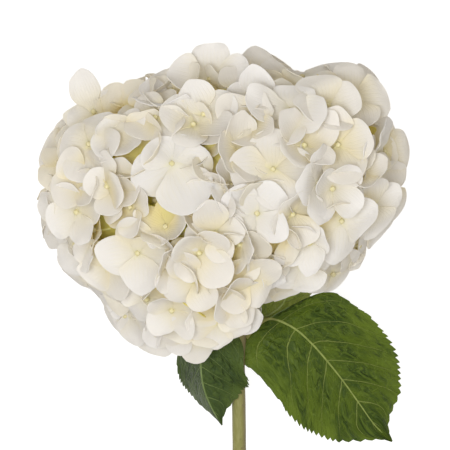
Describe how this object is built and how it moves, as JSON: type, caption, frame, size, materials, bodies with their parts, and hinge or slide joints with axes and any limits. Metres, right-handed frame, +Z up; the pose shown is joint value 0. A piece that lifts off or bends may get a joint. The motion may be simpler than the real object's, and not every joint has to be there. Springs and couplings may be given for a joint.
{
  "type": "cut hydrangea",
  "caption": "White mophead hydrangea on a cut green stem with toothed, quilted leaves, lying on its side: a flower for vases, bouquets and table displays.",
  "frame": {"origin": "on the surface that the flower lies on, under the middle of its box", "axes": "+Z up from the surface, +Y from the cut end of the stem to the crown of the head, +X to the side of the large leaf"},
  "size_m": [0.1928, 0.3631, 0.1481],
  "materials": {
    "sepals": "matt, soft and slightly translucent white petals, creamy green in the depths",
    "stem": "satin olive green bark with small darker dots",
    "leaf": "satin, quilted mid green with paler veins"
  },
  "bodies": {
    "root": {"flower_head": "sepals", "stem": "stem", "leaf_right": "leaf", "leaf_left": "leaf", "leaf_back": "leaf"}
  },
  "joints": []
}
